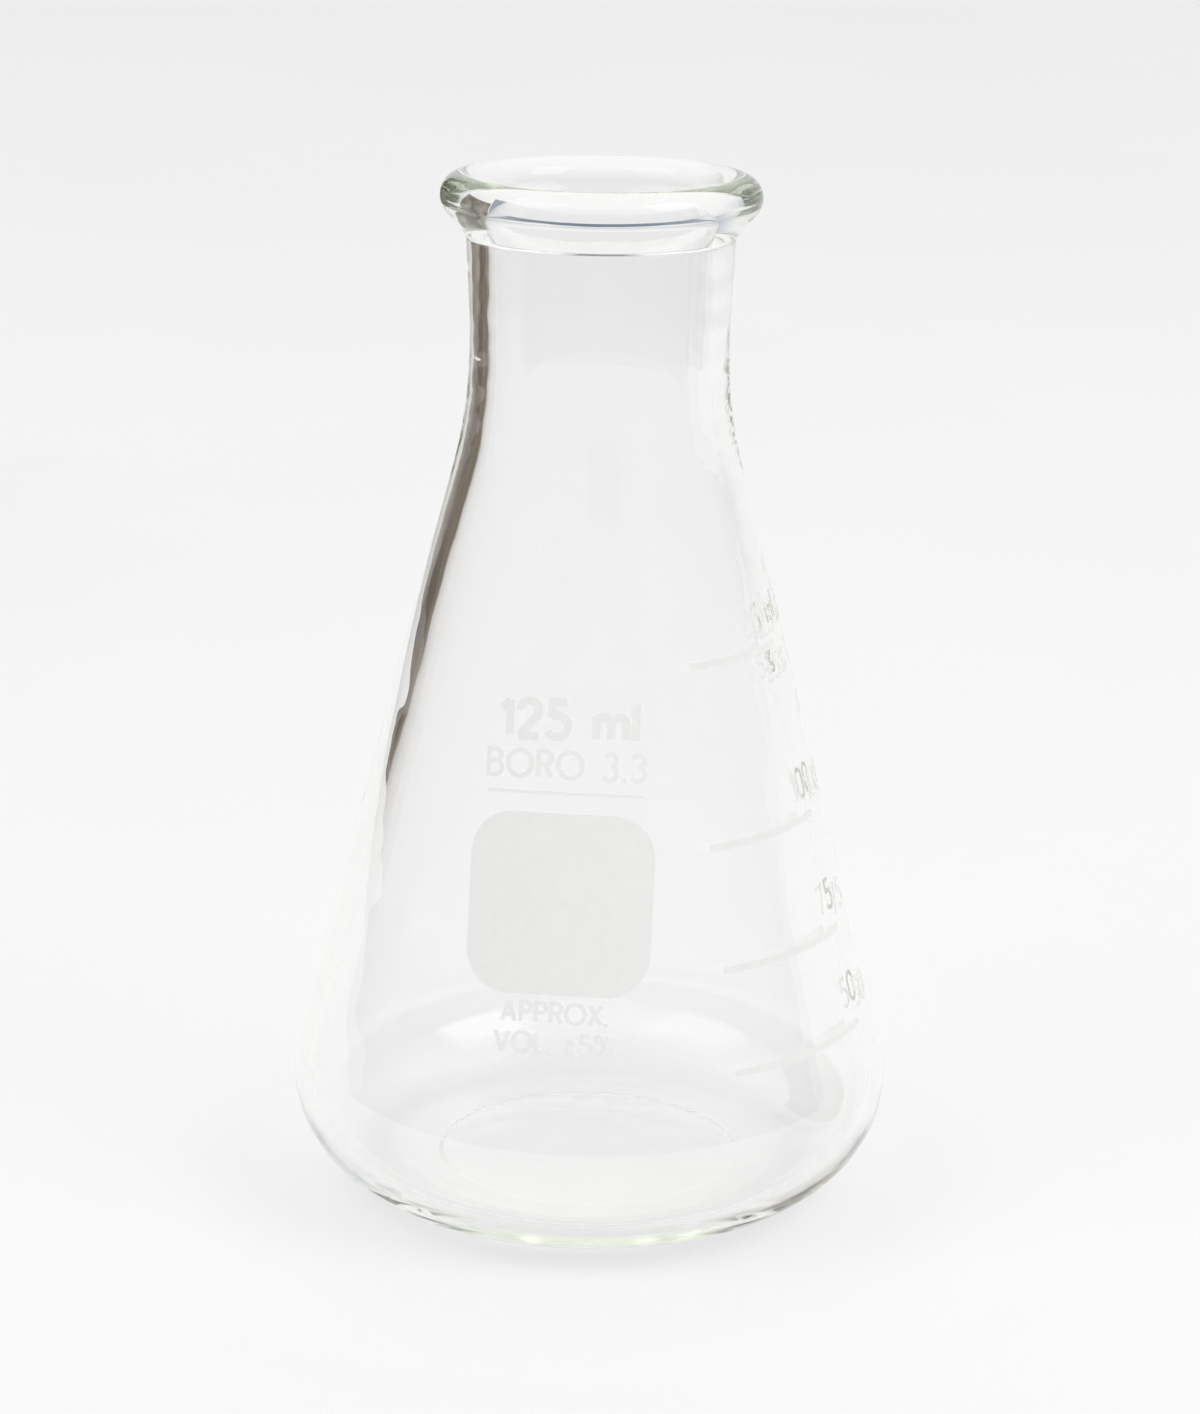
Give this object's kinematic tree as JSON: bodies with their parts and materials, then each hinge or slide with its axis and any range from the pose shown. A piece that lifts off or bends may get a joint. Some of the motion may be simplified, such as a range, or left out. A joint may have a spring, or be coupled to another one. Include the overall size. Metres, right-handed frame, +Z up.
{
  "type": "erlenmeyer flask",
  "caption": "Small conical glass laboratory flask with a narrow neck, a thick beaded rim, a marking patch and white graduations.",
  "frame": {"origin": "centre of the circle that the flask stands on, in the plane of the bench", "axes": "+Z up along the flask's axis, out of the mouth; -Y through the middle of the printed label; the graduations are on the +X side"},
  "size_m": [0.067, 0.067, 0.114],
  "materials": {
    "borosilicate_glass": "clear, fire-polished, faintly green where it is thick",
    "white_enamel": "thin fired white enamel, satin, slightly uneven"
  },
  "bodies": {
    "root": {"capacity_mark": "white_enamel", "glass_flask": "borosilicate_glass", "glass_type_mark": "white_enamel", "graduation_line_100": "white_enamel", "graduation_line_125": "white_enamel", "graduation_line_50": "white_enamel", "graduation_line_75": "white_enamel", "label_rule": "white_enamel", "marking_spot": "white_enamel", "note_lower_mark": "white_enamel", "note_upper_mark": "white_enamel", "numeral_100": "white_enamel", "numeral_125": "white_enamel", "numeral_50": "white_enamel", "numeral_75": "white_enamel", "tolerance_mark": "white_enamel", "unit_mark": "white_enamel"}
  },
  "joints": []
}
